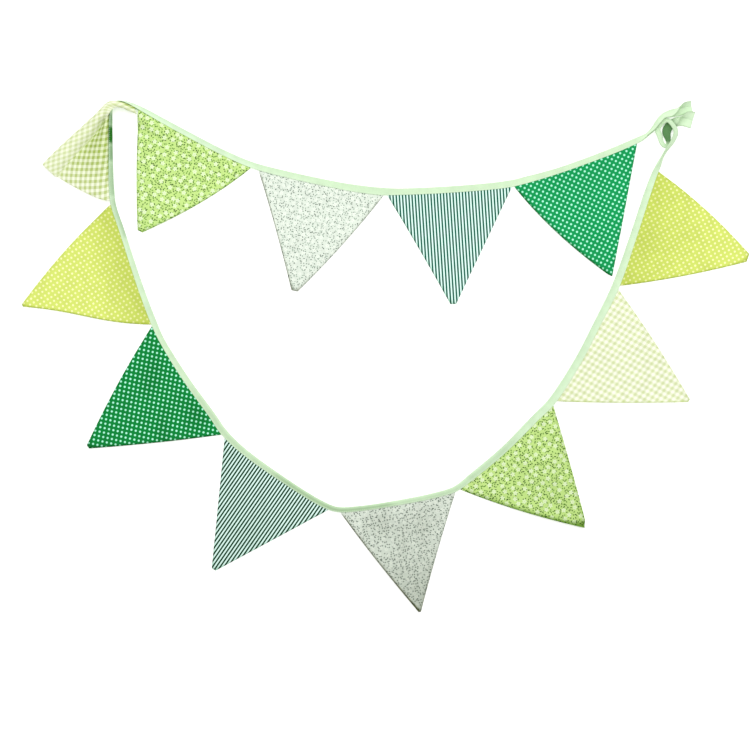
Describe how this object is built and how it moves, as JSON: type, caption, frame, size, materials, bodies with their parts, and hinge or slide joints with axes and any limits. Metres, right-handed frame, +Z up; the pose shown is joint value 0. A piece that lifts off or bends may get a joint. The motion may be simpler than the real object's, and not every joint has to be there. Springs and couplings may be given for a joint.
{
  "type": "fabric bunting",
  "caption": "Fabric bunting laid in a loop: triangular cotton flags in green and lime prints sewn into a pale mint binding tape with knotted tie ends.",
  "frame": {"origin": "centre of the outline on the surface that the bunting lies on", "axes": "+X to the picture's right, +Y to the picture's top, +Z up from the surface"},
  "size_m": [1.1546, 0.8118, 0.0219],
  "materials": {
    "tape": "matte pale mint cotton tape",
    "green_dots": "matte woven cotton, green with white dots",
    "stripe": "matte woven cotton, dark green and white stripes",
    "pale_flower": "matte woven cotton, pale grey-green with small flowers",
    "lime_flower": "matte woven cotton, lime with small white flowers",
    "gingham": "matte woven cotton, yellow-green and white gingham",
    "yellow_dots": "matte woven cotton, yellow-green with white dots"
  },
  "bodies": {
    "root": {"tape": "tape", "flag_01_green_dots": "green_dots", "flag_02_stripe": "stripe", "flag_03_pale_flower": "pale_flower", "flag_04_lime_flower": "lime_flower", "flag_05_gingham": "gingham", "flag_06_yellow_dots": "yellow_dots", "flag_07_green_dots": "green_dots", "flag_08_stripe": "stripe", "flag_09_pale_flower": "pale_flower", "flag_10_lime_flower": "lime_flower", "flag_11_gingham": "gingham", "flag_12_yellow_dots": "yellow_dots"}
  },
  "joints": []
}
